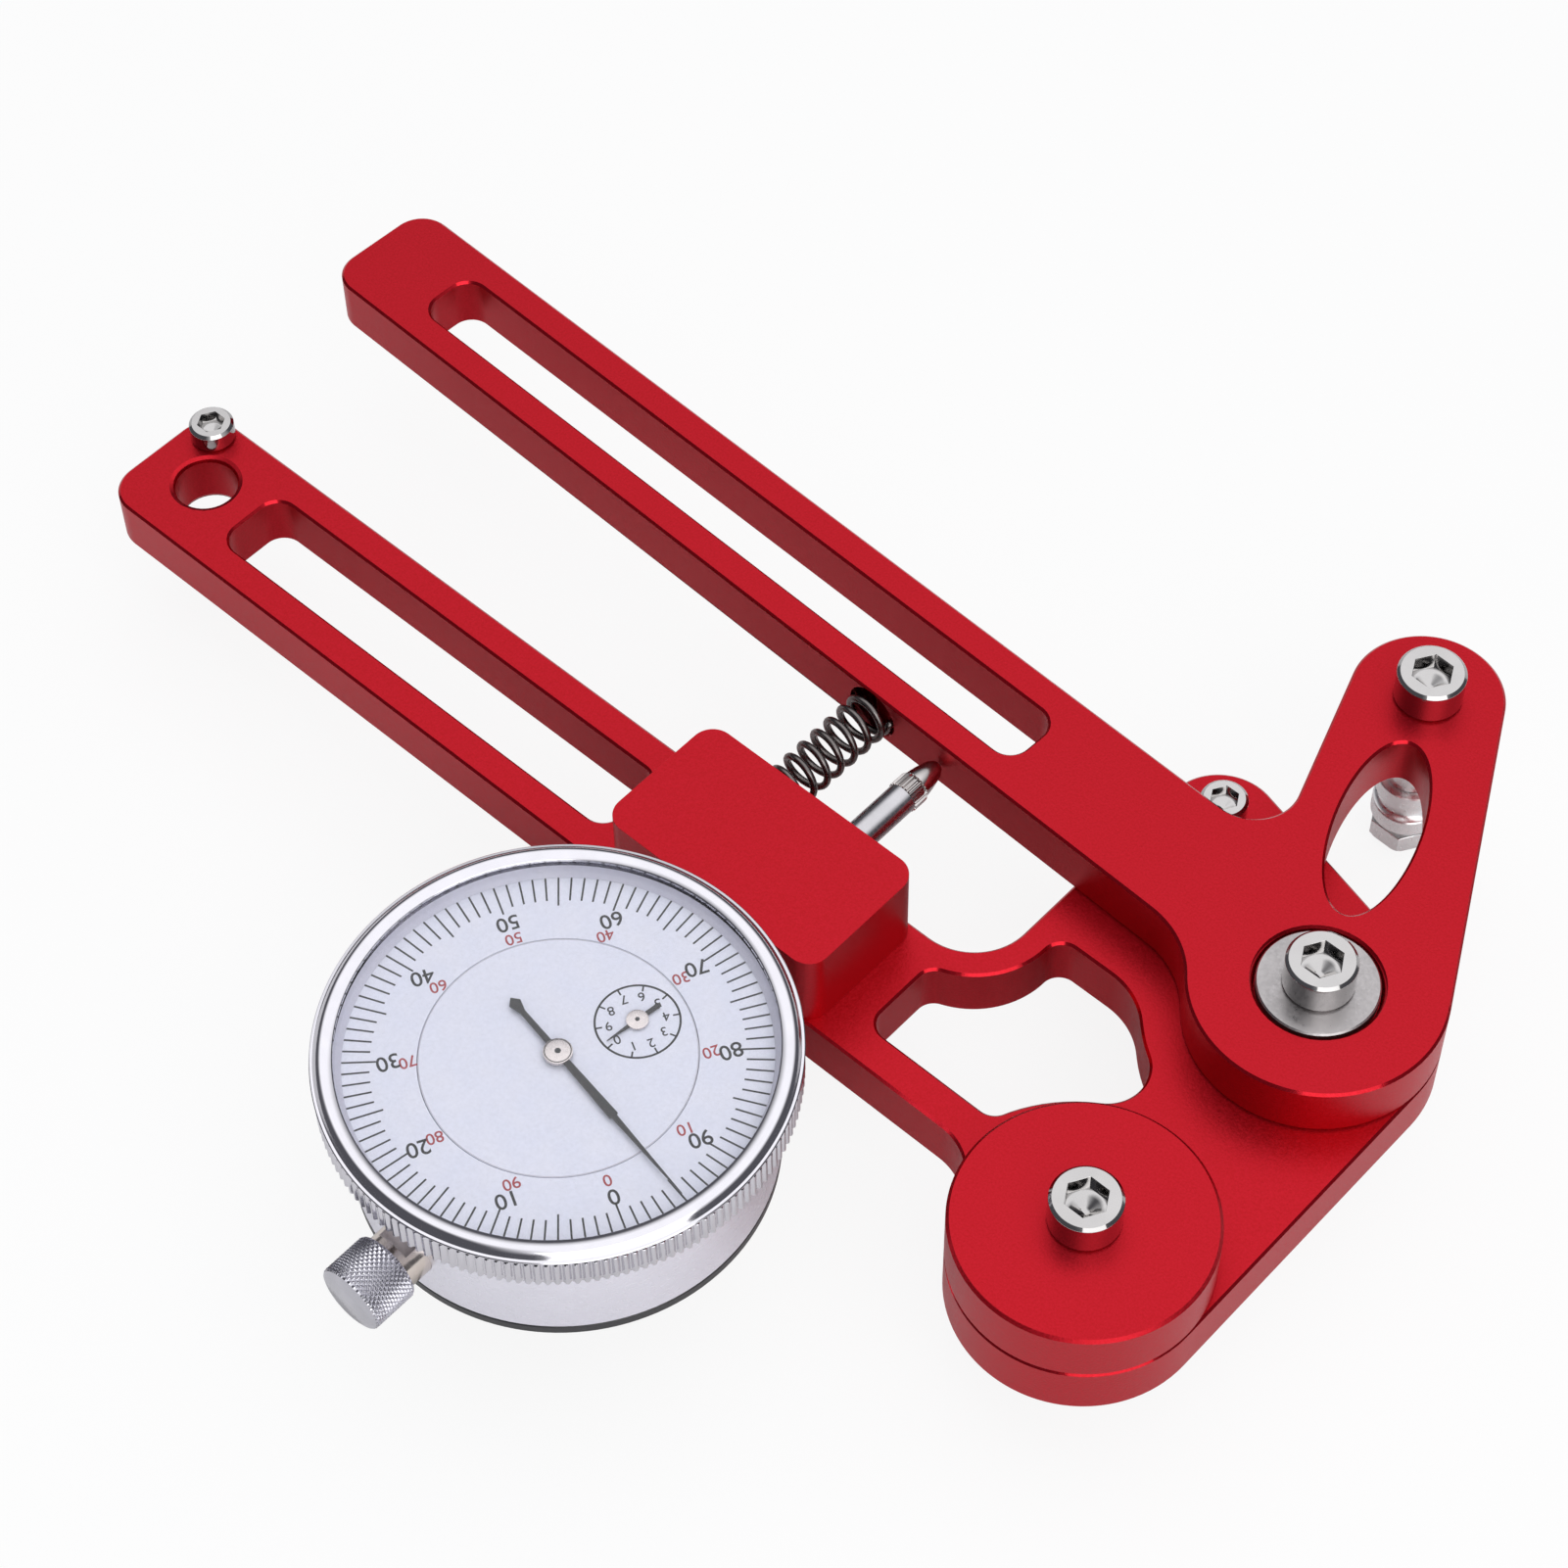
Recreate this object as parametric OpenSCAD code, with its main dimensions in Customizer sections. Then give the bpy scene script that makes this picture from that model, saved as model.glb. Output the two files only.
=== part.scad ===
// Spoke tension meter: a hand-held frame and a sprung lever carry three grooved
// rollers that bend a wheel spoke, and a dial gauge reads how far it gives.
// X runs along the frame's handle towards the head, Y from the gauge to the lever,
// Z up. The origin is on the lever's pivot axis, in the plane where the spoke runs.

/* [Plates] */
// Thickness of the frame plate, the lever and the spacer disc
plate_t = 8; // [7:0.5:10]
// Radius of the plates' round ends and of the spacer disc
end_r = 16.25; // [15.5:0.25:18]
// Distance from the pivot to the fixed roller
roller_span = 44.5; // [42:0.5:50]
// Radius of the fillets in the frame's outline
frame_fillet = 8.5; // [4:0.5:9]
// Edge break on the turned parts and bores
edge = 0.4; // [0.2:0.1:0.6]

/* [Frame handle] */
// Pivot axis to the end of the frame's handle
frame_len = 176; // [165:1:200]
// Width of the frame's handle
grip_w = 19.9; // [18:0.1:21]
// Centre line of the frame's handle, below the pivot axis
grip_y = 32.4; // [31:0.1:34]
// Corner radius of the handle's end
grip_corner = 5; // [3:0.5:7]
// Width of the slot in the frame's handle
frame_slot_w = 10.7; // [8:0.1:12]
// Handle's end to its slot
frame_slot_end = 18.6; // [17:0.1:30]
// Pivot axis to the slot's end by the block
frame_slot_near = 84.9; // [84:0.1:100]
// Corner radius of the slots
slot_corner = 3; // [1:0.1:4]
// Diameter of the hanging hole
hang_d = 8.6; // [6:0.1:9]
// Hanging hole from the handle's end
hang_from_end = 9.7; // [8:0.1:10]

/* [Frame window] */
// Wall between the window and the plate's outer edge
rail_w = 4.95; // [4:0.05:6]
// Wall left round the two roller seats, from their axes
seat_wall_r = 21.2; // [20:0.1:22]
// Width of the curved bridge between window and scallop
bridge_w = 3.7; // [3:0.1:5]
// Left side of the window from the pivot axis
window_left = 40.1; // [38:0.1:42]
// Top of the window below the pivot axis
window_top = 11.5; // [10:0.1:13]
// Radius of the window's small corners
window_corner = 2.6; // [1:0.1:3]
// Radius of the window's corner by the pivot
crown_r = 10; // [5:0.5:11]
// Radius of the window's end between the two roller seats
tip_r = 5.4; // [3:0.1:7]

/* [Lever] */
// Angle at which the lever stands open from the frame's handle
lever_open = 2.63; // [2:0.01:4]
// How far the lever's handle reaches past the frame's
lever_past = 0.3; // [0:0.1:4]
// Width of the lever's handle
lever_w = 17.8; // [16:0.1:19]
// Centre line of the lever's handle, above the pivot axis
lever_y = 2.7; // [2:0.1:3.5]
// Corner radius of the lever's end
lever_corner = 4.5; // [3:0.5:7]
// Width of the slot in the lever
lever_slot_w = 8.8; // [7:0.1:10]
// Lever's end to its slot
lever_slot_end = 14.6; // [10:0.1:30]
// Pivot axis to the lever slot's end by the head
lever_slot_near = 49.5; // [46:0.5:54]
// Pivot axis to the arm roller
arm_len = 47.4; // [45:0.1:52]
// Direction of the arm, from the lever's own X axis
arm_angle = 113.1; // [111:0.1:115]
// Radius of the arm's round end
arm_end_r = 10; // [8:0.5:11]
// Half width of the arm's root on the handle side
arm_root_r = 11.5; // [10:0.5:13]
// Fillet between the lever's handle and its arm
arm_fillet = 6.2; // [4:0.1:7]
// Fillet between the lever's handle and its pivot boss
boss_fillet = 12.5; // [8:0.5:14]
// Half length of the oval window in the arm
oval_a = 14.1; // [10:0.1:14.5]
// Half width of the oval window in the arm
oval_b = 5.4; // [4:0.1:6]
// Pivot axis to the centre of the oval window
oval_at = 25; // [24.5:0.1:26]

/* [Pivot and stops] */
// Outside radius of the pivot bushing
bushing_r = 6; // [5:0.1:6.5]
// Radius of the bushing's flange
flange_r = 7.7; // [7.4:0.1:8]
// Thickness of the bushing's flange
flange_t = 1.6; // [1:0.1:2.5]
// Radius of the counterbore round the flange
counterbore_r = 8.1; // [8.1:0.1:8.6]
// Radius of the small screws' heads
stop_head_r = 3.1; // [2.75:0.05:3.5]
// Width across the flats of the small screws' sockets
stop_af = 3.4; // [2.5:0.1:3.6]
// Head height of the closing stop
close_head_h = 3; // [2:0.5:5]
// Head height of the opening stop
open_head_h = 5; // [4:0.5:7]
// Opening stop along the lever from the pivot
open_stop_x = 27.7; // [27:0.1:29]
// Radius of the ear round the opening stop
ear_r = 7.6; // [6:0.1:8]
// Closing stop from the handle's end
close_from_end = 4.2; // [4:0.1:5]
// Closing stop from the handle's inner edge
close_from_edge = 3.15; // [3.1:0.05:4]

/* [Rollers and bolts] */
// Outside radius of the rollers
roller_r = 4.6; // [4.2:0.1:5.5]
// Radius at the bottom of the rollers' groove
groove_bottom_r = 3.6; // [3.4:0.1:4]
// Radius of the groove's section
groove_r = 1.4; // [1.2:0.1:3]
// Length of a roller
roller_len = 8; // [7:0.5:10]
// Thickness of the washers above the rollers
washer_t = 0.5; // [0.4:0.1:1]
// Radius of the washers above the rollers
washer_r = 4.5; // [4:0.1:6]
// Radius of the arm's spacer
spacer_r = 3.6; // [3.2:0.1:4.5]
// Radius of the roller bolts
bolt_r = 2.5; // [2.5:0.1:3]
// Length of the roller bolts under the head
bolt_len = 30; // [28:1:34]
// Radius of the bolt heads
head_r = 4.5; // [4.25:0.05:5]
// Height of the bolt heads
head_h = 5; // [4:0.5:6]
// Width across the flats of the bolts' hexagon sockets
socket_af = 4.9; // [4:0.1:5.5]
// Depth of the bolts' sockets, to the cone
socket_depth = 2.5; // [2:0.1:3]
// Depth of the cone below the sockets
socket_cone = 1.2; // [0.8:0.1:1.4]
// Width across the flats of the nuts
nut_af = 8; // [8:0.5:10]
// Height of the nuts
nut_h = 4; // [4:0.1:5.5]

/* [Block] */
// Length of the block along the frame
block_l = 35; // [33:0.5:38]
// Left side of the block from the pivot axis
block_left = 80; // [79.5:0.1:81]
// Height of the block
block_h = 12.2; // [11:0.1:14]
// Corner radius of the block
block_corner = 3; // [2:0.1:4]
// Radius of the screws that hold the block
block_screw_r = 2; // [1.5:0.1:2.2]

/* [Spring] */
// Spring axis from the pivot axis, along the frame
spring_x = 69.9; // [69:0.1:71]
// Wire diameter
wire_d = 0.85; // [0.7:0.05:1]
// Mean radius at the block
spring_r_block = 2.75; // [2.4:0.05:2.9]
// Mean radius at the lever
spring_r_lever = 3.1; // [2.8:0.05:3.15]
// Curls in all
spring_turns = 11; // [8:1:12]
// Pitch of the first and the last curl
end_pitch = 1.45; // [1.4:0.05:1.8]
// Depth of the spring's pocket in the block
pocket_depth = 7.8; // [5:0.1:10]
// Depth of the spring's seat in the lever
seat_depth = 1; // [0.5:0.1:1.5]

/* [Gauge] */
// Gauge axis from the pivot axis, along the frame
gauge_x = 57.95; // [57:0.05:58.5]
// Gap between the bezel and the block
bezel_gap = 0.9; // [0.4:0.1:4]
// Radius of the gauge's stem
stem_r = 4; // [4:0.1:4]
// Radius of the spindle
spindle_r = 2.1; // [1.8:0.1:2.4]
// Radius of the gauge's case
case_r = 26.3; // [24:0.1:26.5]
// Dial face above the spindle's axis
face_rise = 11.2; // [10.5:0.1:13]
// Back of the gauge below the spindle's axis
back_drop = 8.6; // [7:0.1:10]
// Thickness of the black back cover
back_t = 1.6; // [1:0.1:2.5]
// Height of the bezel above the dial face
bezel_rise = 3; // [2.6:0.1:4]
// Depth of the bezel below the dial face
bezel_drop = 2.9; // [2.4:0.1:4]
// Ribs round the bezel
bezel_ribs = 110; // [60:1:120]
// Height of the bezel's ribs
rib_h = 0.55; // [0.3:0.05:0.7]
// Wall of the bezel from the case to the foot of its ribs
bezel_wall = 2.4; // [2.2:0.1:3]
// Radius of the fixed inner part of the dial
dial_r = 16.65; // [15:0.05:18]
// Thickness of the dial plates
dial_t = 1.4; // [0.8:0.1:1.6]
// Small dial from the dial's centre, along X and Y
small_at = [3.65, 9.75];
// Length of the long hand
hand_len = 24.4; // [20:0.1:25]
// Length of the long hand's tail
hand_tail = 9.65; // [6:0.05:10]
// Half width of the long hand at its hub
hand_w = 0.4; // [0.3:0.05:0.5]
// Half width of the long hand at its shoulder
shoulder_w = 0.6; // [0.5:0.05:0.8]
// Shoulder of the long hand from its hub
shoulder_at = 11.3; // [8:0.1:13]
// Half width of the blade past the shoulder
blade_w = 0.25; // [0.15:0.05:0.4]
// Half width of the tail's arrow
arrow_w = 0.8; // [0.5:0.05:1]
// Radius of the long hand's cap
hub_r = 1.65; // [1.3:0.05:2]
// Direction of the long hand
hand_angle = -9.9; // [-180:0.1:180]
// Length of the short hand
small_len = 4.6; // [3:0.1:4.8]
// Length of the short hand's tail
small_tail = 3; // [2:0.1:4]
// Half width of the short hand
small_w = 0.32; // [0.2:0.02:0.4]
// Radius of the short hand's cap
small_hub_r = 1.15; // [0.8:0.05:1.3]
// Direction of the short hand
small_angle = -98; // [-180:1:180]

/* [Contact point and cap] */
// Length of the contact point
contact_len = 7.1; // [6:0.1:9]
// Radius of the contact point's fluted collar
collar_r = 2.35; // [2.15:0.05:3]
// Length of the contact point's fluted collar
collar_len = 3; // [2:0.1:4]
// Flutes round the collar
flutes = 18; // [8:1:24]
// Radius of the contact point's ball
ball_r = 1.15; // [0.8:0.05:1.5]
// Radius of the cap
cap_r = 4.6; // [4.4:0.1:6]
// Length of the cap
cap_len = 6.6; // [6:0.1:9]
// Bare length of the tube between case and cap
tube_bare = 3; // [2:0.1:5]
// Radius of the tube under the cap
tube_r = 3.75; // [3.4:0.05:4]
// Half width across the tube's two flats
tube_flat = 3; // [2.8:0.1:3.4]
// Length of the tube left round between its flats and the cap
tube_collar = 0.9; // [0.6:0.1:1.5]

/* [Clearances] */
// Radial clearance of what turns or slides
run_fit = 0.05; // [0.02:0.01:0.1]
// Radial clearance of what is fixed in a bore
seat_fit = 0.02; // [0.01:0.01:0.05]
// Gap between flat faces that move past each other
face_gap = 0.1; // [0.05:0.05:0.3]
// Gap at a stop or a contact point at rest
rest_gap = 0.12; // [0.1:0.01:0.3]

/* [Hidden] */
$fn = 96;
eps = 0.01;

red = [0.74, 0.10, 0.14];
steel = [0.78, 0.78, 0.80];
silver = [0.86, 0.86, 0.88];
dark = [0.16, 0.16, 0.17];
paper = [0.90, 0.92, 0.98];

// Levels
plate_z = roller_len / 2 + face_gap + washer_t;
top_z = plate_z + plate_t;
head_z = top_z + plate_t;
axis_z = top_z + stem_r;
face_z = axis_z + face_rise;
case_top = face_z - dial_t;
back_z = axis_z - back_drop;
bezel_z0 = face_z - bezel_drop;
bezel_z1 = face_z + bezel_rise;

// Places in the plan
lever_len = frame_len + lever_past;
pivot_at = [0, 0];
fixed_at = [0, -roller_span];
grip_in = -grip_y + grip_w / 2;
grip_out = -grip_y - grip_w / 2;
hang_at = [-frame_len + hang_from_end, -grip_y + 0.3];
close_at = [-frame_len + close_from_end, grip_in - close_from_edge];
lever_out = lever_y + lever_w / 2;
lever_in = lever_y - lever_w / 2;
arm_at = arm_len * [cos(arm_angle), sin(arm_angle)];
open_in_lever = [-open_stop_x, lever_out + stop_head_r + rest_gap];
open_at = turned(open_in_lever, -lever_open);
web_left = open_at.x - ear_r;
scallop_at = [web_left - frame_fillet, grip_in + frame_fillet];
block_screws_at = [[-block_left + 5, -grip_y - 4.1], [-block_left + block_l - 4.5, -grip_y + 2]];

// Gauge
bezel_in = case_r + 2 * run_fit;
rib_foot = case_r + bezel_wall;
rib_tip = rib_foot + rib_h;
gauge_y = -grip_out + bezel_gap + rib_tip;
gauge_at = [-gauge_x, -gauge_y];
ring_r = case_r + 0.3;
crystal_r = ring_r + 0.6;
crystal_z = face_z + 1.4;
crystal_t = 0.95;
crystal_dome = 0.5;
tip_y = lever_face_y(-gauge_x) - rest_gap;
collar_y = tip_y - contact_len;
case_end = -gauge_y - case_r;
cap_y = case_end - tube_bare;
spindle_end = case_end + 1.5;
socket_t = 1.4;

// Spring
spring_y0 = grip_in - pocket_depth + face_gap;
spring_y1 = lever_face_y(-spring_x) + seat_depth - 2 * face_gap;
coil_len = spring_y1 - spring_y0 - 2 * wire_d;
pitch = (coil_len - 2 * end_pitch) / (spring_turns - 2);
rings_a_turn = 8;
wire_sides = 6;

// A point turned about the pivot
function turned(p, a) = [p.x * cos(a) - p.y * sin(a), p.x * sin(a) + p.y * cos(a)];

// Y of the lever's inner edge at a place along the frame, at rest
function lever_face_y(x) = -x * tan(lever_open) + lever_in / cos(lever_open);

// Outward normal of the line that touches two circles on one side
function tangent_normal(c1, r1, c2, r2, side) =
    let (d = c2 - c1, u = d / norm(d), m = side * [-u.y, u.x], s = (r1 - r2) / norm(d))
    s * u + sqrt(1 - s * s) * m;

// The area between two circles and their outer tangents
module link(c1, r1, c2, r2) {
    n1 = tangent_normal(c1, r1, c2, r2, 1);
    n2 = tangent_normal(c1, r1, c2, r2, -1);
    polygon([c1 + r1 * n1, c2 + r2 * n1, c2 + r2 * n2, c1 + r1 * n2]);
}

module disc_at(c, r) translate(c) circle(r);

// Rounds the inner corners of an outline
module fillet_in(r) offset(r = -r) offset(r = r) children();

// Rounds the outer corners of an outline
module round_out(r) offset(r = r) offset(r = -r) children();

// A rectangle with round corners, from one corner to the other
module rounded(p, q, r) {
    translate(p + [r, 0]) square([q.x - p.x - 2 * r, q.y - p.y]);
    translate(p + [0, r]) square([q.x - p.x, q.y - p.y - 2 * r]);
    for (x = [p.x + r, q.x - r], y = [p.y + r, q.y - r]) disc_at([x, y], r);
}

// A bore with a broken edge at both mouths
module bore(c, r, z0, z1, break) {
    translate([c.x, c.y, z0 - eps]) cylinder(r = r, h = z1 - z0 + 2 * eps);
    translate([c.x, c.y, z1 - break]) cylinder(r1 = r, r2 = r + break + eps, h = break + eps);
    translate([c.x, c.y, z0 - eps]) cylinder(r1 = r + break + eps, r2 = r, h = break + eps);
}

// A round bar with a broken edge at both ends
module bar(r, h, break) {
    cylinder(r1 = r - break, r2 = r, h = break);
    translate([0, 0, break]) cylinder(r = r, h = h - 2 * break);
    translate([0, 0, h - break]) cylinder(r1 = r, r2 = r - break, h = break);
}

module hexagon(af, h) cylinder(r = af / 2 / cos(30), h = h, $fn = 6);

// A cap screw that hangs down from the underside of its head
module cap_screw(r, len, hr, hh, af, deep, cone) {
    difference() {
        bar(hr, hh, edge);
        translate([0, 0, hh - deep]) hexagon(af, hh);
        translate([0, 0, hh - deep - cone]) cylinder(r1 = 0, r2 = af / 2, h = cone + eps);
    }
    translate([0, 0, -len]) bar(r, len, edge);
}

// Frame

module frame_outline() {
    fillet_in(frame_fillet) union() {
        rounded([-frame_len, grip_out], [web_left + grip_corner, grip_in], grip_corner);
        translate([web_left, grip_out]) square([-web_left, open_at.y - grip_out]);
        disc_at(pivot_at, end_r);
        disc_at(fixed_at, end_r);
        link(pivot_at, end_r, fixed_at, end_r);
        disc_at(open_at, ear_r);
        link(open_at, ear_r, pivot_at, end_r);
    }
}

// Centre of a circle that touches the pivot's seat wall from the window, at a height
function beside_seat(r, y) = [-sqrt(pow(seat_wall_r + r, 2) - y * y), y];

module frame_window() {
    tip = beside_seat(tip_r, -roller_span / 2);
    crown = beside_seat(crown_r, -window_top - crown_r);
    tip_touch = tip * seat_wall_r / (seat_wall_r + tip_r);
    crown_touch = crown * seat_wall_r / (seat_wall_r + crown_r);
    round_out(window_corner) difference() {
        translate([-window_left, grip_out + rail_w])
            square([window_left, -window_top - grip_out - rail_w]);
        disc_at(pivot_at, seat_wall_r);
        disc_at(fixed_at, seat_wall_r);
        disc_at(scallop_at, frame_fillet + bridge_w);
        difference() {
            translate([tip_touch.x, -roller_span]) square([-tip_touch.x, roller_span]);
            disc_at(tip, tip_r);
        }
        difference() {
            polygon([[crown.x, -window_top + eps], [0, -window_top + eps], crown_touch]);
            disc_at(crown, crown_r);
        }
    }
}

module frame_plate() {
    color(red) difference() {
        translate([0, 0, plate_z]) linear_extrude(plate_t) frame_outline();
        translate([0, 0, plate_z - eps]) linear_extrude(plate_t + 2 * eps) {
            rounded([-frame_len + frame_slot_end, -grip_y - frame_slot_w / 2],
                    [-frame_slot_near, -grip_y + frame_slot_w / 2], slot_corner);
            frame_window();
        }
        bore(hang_at, hang_d / 2, plate_z, top_z, edge);
        for (c = [pivot_at, fixed_at]) bore(c, bolt_r + seat_fit, plate_z, top_z, edge / 4);
        for (c = [close_at, open_at]) bore(c, stop_r() + seat_fit, plate_z, top_z, edge / 4);
        for (c = block_screws_at) block_screw_hole(c);
    }
}

function stop_r() = stop_head_r / 2;

module block_screw_hole(c) {
    bore(c, block_screw_r + seat_fit, plate_z, top_z, edge / 4);
    translate([c.x, c.y, plate_z - eps])
        cylinder(r1 = 2 * block_screw_r + seat_fit, r2 = block_screw_r + seat_fit, h = block_screw_r);
}

module block_screws() {
    color(steel) for (c = block_screws_at) translate([c.x, c.y, plate_z]) difference() {
        union() {
            cylinder(r1 = 2 * block_screw_r - eps, r2 = block_screw_r, h = block_screw_r);
            cylinder(r = block_screw_r, h = plate_t + block_h / 2);
        }
        translate([0, 0, -eps]) hexagon(1.25 * block_screw_r, block_screw_r * 0.7);
    }
}

module gauge_block() {
    color(red) difference() {
        translate([0, 0, top_z]) linear_extrude(block_h)
            rounded([-block_left, grip_out], [-block_left + block_l, grip_in], block_corner);
        translate([-gauge_x, grip_in + eps, axis_z]) rotate([90, 0, 0])
            cylinder(r = stem_r + seat_fit, h = grip_w + 2 * eps);
        translate([-gauge_x - stem_r / 2, grip_out - eps, top_z - eps])
            cube([stem_r, grip_w + 2 * eps, stem_r / 2]);
        translate([-spring_x, grip_in + eps, axis_z]) rotate([90, 0, 0])
            cylinder(r = spring_r_lever + wire_d / 2 + 2 * run_fit, h = pocket_depth + eps);
        for (c = block_screws_at) translate([c.x, c.y, top_z - eps])
            cylinder(r = block_screw_r + seat_fit, h = block_h / 2 + 2 * face_gap);
    }
}

module spacer_disc() {
    color(red) translate([fixed_at.x, fixed_at.y, top_z]) difference() {
        bar(end_r, plate_t, edge);
        bore([0, 0], bolt_r + seat_fit, 0, plate_t, edge / 4);
    }
}

module pivot_bushing() {
    color(steel) translate([0, 0, top_z]) difference() {
        union() {
            cylinder(r = bushing_r, h = plate_t - flange_t + eps);
            translate([0, 0, plate_t - flange_t]) bar(flange_r, flange_t, edge / 2);
        }
        bore([0, 0], bolt_r + seat_fit, 0, plate_t, edge / 4);
    }
}

module roller_bolt(c) translate([c.x, c.y, head_z])
    cap_screw(bolt_r, bolt_len, head_r, head_h, socket_af, socket_depth, socket_cone);

module frame_bolts() color(steel) for (c = [pivot_at, fixed_at]) roller_bolt(c);

module frame_washers() {
    color(steel) for (c = [pivot_at, fixed_at]) difference() {
        translate([c.x, c.y, plate_z - washer_t]) cylinder(r = washer_r, h = washer_t);
        bore(c, bolt_r + seat_fit, plate_z - washer_t, plate_z, washer_t / 8);
    }
}

// A lock nut whose top face is at the given height
module lock_nut(c, z) {
    translate([c.x, c.y, z - nut_h]) difference() {
        union() {
            intersection() {
                hexagon(nut_af, nut_h * 0.75 + eps);
                bar(nut_af / 2 / cos(30), nut_h * 1.5, edge);
            }
            translate([0, 0, nut_h * 0.75]) cylinder(r = nut_af * 0.42, h = nut_h * 0.25);
        }
        bore([0, 0], bolt_r + seat_fit, 0, nut_h, edge / 4);
    }
}

nut_z = -roller_len / 2 - face_gap;

module frame_nuts() color(steel) for (c = [pivot_at, fixed_at]) lock_nut(c, nut_z);

module stop_screw(h)
    cap_screw(stop_r(), plate_t - edge, stop_head_r, h, stop_af, stop_af / 2, stop_af / 6);

module close_stop() {
    color(steel) translate([close_at.x, close_at.y, top_z])
        stop_screw(close_head_h);
}

module open_stop() {
    color(steel) translate([open_at.x, open_at.y, top_z])
        stop_screw(open_head_h);
}

// Lever, drawn along its own X axis and turned to its open stop

module lever_outline() {
    fillet_in(boss_fillet) union() {
        lever_grip();
        disc_at(pivot_at, end_r);
    }
    fillet_in(arm_fillet) union() {
        lever_grip();
        arm_outline();
    }
}

module lever_grip() rounded([-lever_len, lever_in], [lever_corner, lever_out], lever_corner);

module arm_outline() {
    n1 = tangent_normal(arm_at, arm_end_r, pivot_at, arm_root_r, -1);
    n2 = tangent_normal(arm_at, arm_end_r, pivot_at, end_r, 1);
    polygon([arm_at + arm_end_r * n1, arm_root_r * n1, end_r * n2, arm_at + arm_end_r * n2]);
    disc_at(arm_at, arm_end_r);
}

module arm_oval() {
    translate(oval_at * [cos(arm_angle), sin(arm_angle)]) rotate(arm_angle)
        polygon([for (a = [0:5:355]) [oval_a * cos(a), oval_b * sin(a)]]);
}

module as_lever() rotate([0, 0, -lever_open]) children();

module lever() {
    color(red) as_lever() difference() {
        translate([0, 0, top_z + face_gap]) linear_extrude(plate_t - face_gap) lever_outline();
        translate([0, 0, top_z]) linear_extrude(plate_t + eps) {
            rounded([-lever_len + lever_slot_end, lever_y - lever_slot_w / 2],
                    [-lever_slot_near, lever_y + lever_slot_w / 2], slot_corner);
            arm_oval();
        }
        bore(pivot_at, bushing_r + run_fit, top_z + face_gap, head_z, edge / 4);
        translate([0, 0, head_z - flange_t - face_gap]) cylinder(r = counterbore_r, h = plate_t);
        bore(arm_at, bolt_r + seat_fit, top_z + face_gap, head_z, edge / 4);
        spring_seat();
    }
}

module spring_seat() {
    foot = turned([-spring_x, lever_face_y(-spring_x)], lever_open);
    translate([foot.x, lever_in + seat_depth, axis_z]) rotate([90, 0, 0])
        cylinder(r = spring_r_lever + wire_d / 2 + 2 * run_fit, h = seat_depth + 1);
}

module arm_bolt() color(steel) as_lever() roller_bolt(arm_at);

module arm_spacer() {
    color(steel) as_lever() difference() {
        translate([arm_at.x, arm_at.y, plate_z - washer_t])
            bar(spacer_r, plate_t + face_gap + washer_t, edge / 2);
        bore(arm_at, bolt_r + seat_fit, plate_z - washer_t, top_z + face_gap, edge / 4);
    }
}

module arm_nut() color(steel) as_lever() lock_nut(arm_at, nut_z);

// Rollers

module roller() {
    rotate_extrude() difference() {
        translate([bolt_r + run_fit, -roller_len / 2])
            square([roller_r - bolt_r - run_fit, roller_len]);
        translate([groove_bottom_r + groove_r, 0]) circle(groove_r);
    }
}

module roller_fixed() color(silver) translate([fixed_at.x, fixed_at.y, 0]) roller();

module roller_pivot() color(silver) roller();

module roller_arm() color(silver) as_lever() translate([arm_at.x, arm_at.y, 0]) roller();

// Spring, swept round its axis from the block to the lever

function coil_y(t) = end_pitch * min(t, 1) + pitch * max(0, min(t, spring_turns - 1) - 1)
    + end_pitch * max(0, t - spring_turns + 1);

function coil_r(t) = spring_r_block + (spring_r_lever - spring_r_block) * t / spring_turns;

function coil_point(t) = [-spring_x + coil_r(t) * cos(360 * t),
    spring_y0 + wire_d + coil_y(t), axis_z + coil_r(t) * sin(360 * t)];

coil = [for (i = [0:spring_turns * rings_a_turn]) coil_point(i / rings_a_turn)];
wire_path = concat(
    [coil[0] - [0, wire_d, 0]], coil, [coil[len(coil) - 1] + [0, wire_d, 0]]);
last_ring = len(wire_path) - 1;

function wire_ring(i) =
    let (p = wire_path[i],
        ahead = i == 0 || i == last_ring ? [0, 1, 0]
            : wire_path[i + 1] - wire_path[i - 1],
        t = ahead / norm(ahead),
        out = [p.x + spring_x, 0, p.z - axis_z],
        n = out / norm(out),
        b = cross(t, n) / norm(cross(t, n)),
        m = cross(b, t))
    [for (k = [0:wire_sides - 1])
        p + wire_d / 2 * (m * cos(360 * k / wire_sides) + b * sin(360 * k / wire_sides))];

least_gap = min([for (i = [0:len(coil) - 1], j = [i + 5:min(i + 2 * rings_a_turn, len(coil) - 1)])
    norm(coil[i] - coil[j])]) - wire_d;
echo(spring_least_gap = least_gap, spring_pitch = pitch);

module spring() {
    points = [for (i = [0:last_ring]) each wire_ring(i)];
    sides = [for (i = [0:last_ring - 1], k = [0:wire_sides - 1])
        let (a = i * wire_sides + k, b = i * wire_sides + (k + 1) % wire_sides)
        each [[a, b, b + wire_sides], [a, b + wire_sides, a + wire_sides]]];
    first = [for (k = [1:wire_sides - 2]) [0, k + 1, k]];
    base = last_ring * wire_sides;
    last = [for (k = [1:wire_sides - 2]) [base, base + k, base + k + 1]];
    color(dark) polyhedron(points, concat(sides, first, last));
}

// Gauge

module at_gauge(z) translate([gauge_at.x, gauge_at.y, z]) children();

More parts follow.
